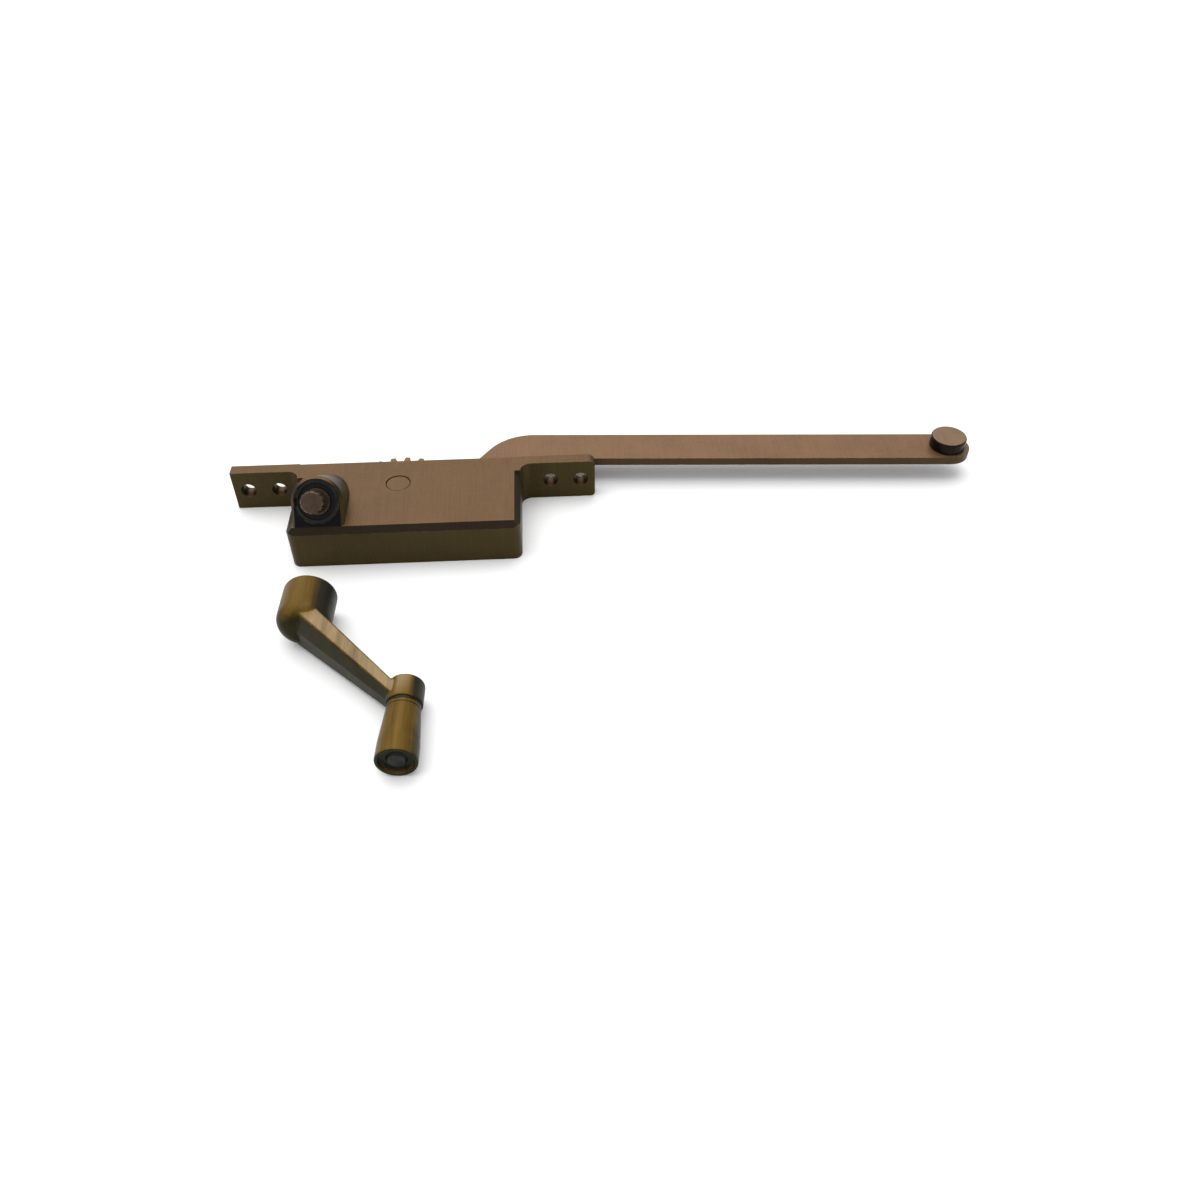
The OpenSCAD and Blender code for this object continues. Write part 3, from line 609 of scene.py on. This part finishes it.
class CASEMENT_OT_crank(bpy.types.Operator):
    """Builds the cast crank with its arm blended into the hub and the collar"""
    bl_idname = "casement.crank"
    bl_label = "Crank handle"

    def execute(self, context):
        s = context.scene.casement.crank
        space, reach = crank_space()
        start = Vector((0, 0, -s.hub_length * 0.73))
        end = Vector((reach - s.collar_radius * 0.6, 0, -s.collar_from - s.collar_length * 0.62))
        bm = bmesh.new()
        self.hub(bm, s)
        self.collar(bm, s, reach)
        self.arm(bm, s, start, end)
        piece = new_piece("crank_casting", bm, space)
        blend = piece.modifiers.new("blend", "REMESH")
        blend.mode = "VOXEL"
        blend.voxel_size = s.voxel
        soft = piece.modifiers.new("soft", "SMOOTH")
        soft.factor = 0.5
        soft.iterations = 5
        settle(piece)
        cut(piece, self.socket(space))
        cut(piece, self.screw_hole(s, space))
        sharpen(piece, 40.0)
        # Painted shade on the faces that point towards the knob
        towards_knob = space.to_3x3() @ Vector((1, 0, 0))
        # A painted sheen patch on the top of the crank's arm, near its middle
        finish = antique_bronze("bronze_crank", tuple(s.bright), tuple(s.dark),
                                along=(1300.0, 60.0, 1300.0), end=tuple(towards_knob),
                                sheen=(tuple(space @ start.lerp(end, 0.55)), 0.030))
        piece.data.materials.append(finish.material)
        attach(piece, "crank")
        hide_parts("crank_handle")
        return {"FINISHED"}

    def hub(self, bm, s):
        """The round-ended hub, with a soft lip at its mouth."""
        lip = 0.0007
        foot = -s.hub_length
        profile = [(0.0, foot)]
        profile += arc((s.hub_radius - s.hub_dome, foot + s.hub_dome), s.hub_dome, -90, 0)
        profile += arc((s.hub_radius - lip, -lip), lip, 0, 90, 4) + [(0.0, 0.0)]
        lathe(bm, profile)

    def collar(self, bm, s, reach):
        """The collar that the knob turns against, with a rounded upper edge."""
        soft = 0.0009
        crisp = 0.0003
        foot = -s.collar_from - s.collar_length
        profile = [(0.0, foot), (s.collar_radius - crisp, foot), (s.collar_radius, foot + crisp)]
        profile += arc((s.collar_radius - soft, -s.collar_from - soft), soft, 0, 90, 5)
        lathe(bm, profile + [(0.0, -s.collar_from)], at=Vector((reach, 0, 0)))

    def arm(self, bm, s, start, end):
        """The tapered arm: a flat top, a front that bulges to a keel, and a blunt back."""
        way = (end - start).normalized()
        across = Vector((-way.z, 0, way.x))
        at_hub = [s.hub_radius * k for k in (0.32, 0.5, 0.85, 0.93)] + [0.0011]
        at_collar = [s.collar_radius * k for k in (0.25, 0.5, 0.75, 0.85)] + [0.0006]
        steps = 24
        rings = []
        for i in range(steps + 1):
            share = i / steps
            front, back, up, down, soft = ((1 - share) * a + share * b
                                           for a, b in zip(at_hub, at_collar))
            corners = [(-front * 1.6, 0), (-front, -up), (back * 0.7, -up), (back, 0),
                       (back * 0.7, down), (-front * 1.3, down)]
            centre = start.lerp(end, share)
            rings.append([centre + across * p.x + Vector((0, p.y, 0))
                          for p in rounded(corners, soft)])
        skin(bm, rings)

    def socket(self, space):
        """The cutter for the stud's socket, with a small lead-in at the mouth."""
        size = MOUNTS["crank_socket"]["dims"]
        deep = -size["length_mm"] * MM
        wide = size["r_mm"] * MM
        lead = wide + 0.0006
        bm = bmesh.new()
        lathe(bm, [(0.0, deep), (wide, deep), (wide, -0.0005), (lead, 0.0001), (lead, 0.002),
                   (0.0, 0.002)])
        return new_piece("socket", bm, space)

    def screw_hole(self, s, space):
        """The cutter for the set screw's hole, square to the socket."""
        beyond = 0.02
        bm = bmesh.new()
        lathe(bm, [(0.0, 0.0), (s.screw_radius, 0.0), (s.screw_radius, beyond), (0.0, beyond)], 48)
        height = Matrix.Translation((0, 0, -s.hub_length * 0.35))
        return new_piece("screw_hole", bm, space @ height @ Matrix.Rotation(-math.pi / 2, 4, "Y"))


class CASEMENT_OT_knob(bpy.types.Operator):
    """Turns the knob, with its rim and the dish in its end"""
    bl_idname = "casement.knob"
    bl_label = "Knob"

    def execute(self, context):
        s = context.scene.casement.knob
        crank = context.scene.casement.crank
        space, reach = crank_space()
        top = -crank.collar_from - crank.collar_length - s.washer
        steps = 128
        bm = bmesh.new()
        rings = lathe(bm, self.profile(s, top), steps, at=Vector((reach, 0, 0)))
        for i in range(steps):
            j = (i + 1) % steps
            bm.faces.new((rings[-1][i], rings[-1][j], rings[0][j], rings[0][i]))
        piece = new_piece("knob_turned", bm, space)
        sharpen(piece)
        # Painted shade on the knob's free end
        towards_end = space.to_3x3() @ Vector((0, 0, -1))
        finish = antique_bronze("bronze_knob", tuple(crank.bright), tuple(crank.dark),
                                along=(2200.0, 60.0, 2200.0), end=tuple(towards_end), rough=0.3)
        piece.data.materials.append(finish.material)
        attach(piece, "grip")
        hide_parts("knob")
        return {"FINISHED"}

    def profile(self, s, top):
        """The knob's outline: dish, rim, flared grip, fine groove and rounded shoulder."""
        end = top - s.length
        r1, r2 = s.top_radius, s.end_radius
        dish = r2 - s.rim
        waist = r2 - 0.0001
        groove = top - s.length * 0.07
        shoulder = 0.0006
        outline = [(s.bore, end + s.dish), (dish - 0.0006, end + s.dish)]
        outline += [(dish - 0.0002, end + s.dish * 0.75), (dish, end + 0.0003), (dish + 0.0002, end)]
        outline += [(r2 - 0.0005, end), (r2 - 0.00015, end + 0.00015), (r2, end + 0.0005)]
        outline += [(r2, end + 0.0010), (waist, end + s.length * 0.3)]
        outline += [(r1 + (waist - r1) * k, end + s.length * (0.92 - 0.62 * k))
                    for k in (0.66, 0.33, 0.0)]
        outline += [(r1 - 0.00018, groove), (r1, groove + 0.00022)]
        outline += arc((r1 - shoulder, top - shoulder), shoulder, 0, 90, 5)
        return outline + [(s.bore, top)]


class CASEMENT_OT_stage(bpy.types.Operator):
    """Lays the floor, hangs the light and sets up the camera"""
    bl_idname = "casement.stage"
    bl_label = "Stage"

    def execute(self, context):
        s = context.scene.casement.stage
        scene = context.scene
        scene.view_settings.view_transform = "Standard"
        bm = bmesh.new()
        half = 12.0
        level = CAD_BOX[0].z - 0.00005
        for x, y in ((-half, -half), (half, -half), (half, half), (-half, half)):
            bm.verts.new((x, y, level))
        bm.faces.new(bm.verts)
        floor = new_piece("floor", bm, Matrix.Identity(4))
        paper = Finish("floor_paper", specular_ior_level=0.1, roughness=0.9)
        paper.set(base_color=paper.brighter(tuple(s.floor), 1 + (paper.noise(6.0) - 0.5) * 0.02))
        floor.data.materials.append(paper.material)

        world = bpy.data.worlds.new("room")
        scene.world = world
        world.use_nodes = True
        back = world.node_tree.nodes["Background"]
        back.inputs["Color"].default_value = SKY
        back.inputs["Strength"].default_value = s.room

        sun = bpy.data.lights.new("overhead", "SUN")
        sun.energy = s.key
        sun.angle = math.radians(80.0)
        sun.color = LAMP_WHITE
        lamp = bpy.data.objects.new("overhead", sun)
        lamp.rotation_euler = LAMP_WAY.to_track_quat("-Z", "Y").to_euler()
        scene.collection.objects.link(lamp)

        data = bpy.data.cameras.new("camera")
        data.sensor_width = 36.0
        data.sensor_fit = "HORIZONTAL"
        data.lens = s.lens
        data.clip_start = 0.01
        camera = bpy.data.objects.new("camera", data)
        ahead = CAMERA_AHEAD.normalized()
        right = CAMERA_RIGHT.normalized()
        turn = Matrix((right, right.cross(ahead), -ahead)).transposed().to_4x4()
        camera.matrix_world = Matrix.Translation(CAMERA_AT) @ turn
        scene.collection.objects.link(camera)
        scene.camera = camera
        return {"FINISHED"}


class CASEMENT_PT_panel(bpy.types.Panel):
    """Lists the pieces and their settings"""
    bl_idname = "CASEMENT_PT_panel"
    bl_label = "Casement operator"
    bl_space_type = "VIEW_3D"
    bl_region_type = "UI"
    bl_category = "Casement"

    def draw(self, context):
        for operator, group in STEPS:
            box = self.layout.box()
            box.operator(operator.bl_idname)
            if group:
                settings = getattr(context.scene.casement, group)
                for key in settings.__annotations__:
                    box.prop(settings, key)


STEPS = (
    (CASEMENT_OT_stage, "stage"),
    (CASEMENT_OT_case, "case"),
    (CASEMENT_OT_worm, None),
    (CASEMENT_OT_arm, "arm"),
    (CASEMENT_OT_crank, "crank"),
    (CASEMENT_OT_knob, "knob"),
)
CLASSES = (CaseSettings, ArmSettings, CrankSettings, KnobSettings, StageSettings, CasementSettings,
           *(step[0] for step in STEPS), CASEMENT_PT_panel)


def register():
    for item in CLASSES:
        bpy.utils.register_class(item)
    bpy.types.Scene.casement = bpy.props.PointerProperty(type=CasementSettings)


def unregister():
    del bpy.types.Scene.casement
    for item in reversed(CLASSES):
        bpy.utils.unregister_class(item)


def main():
    register()
    for operator, _ in STEPS:
        group, name = operator.bl_idname.split(".")
        getattr(getattr(bpy.ops, group), name)()


if __name__ == "__main__":
    main()
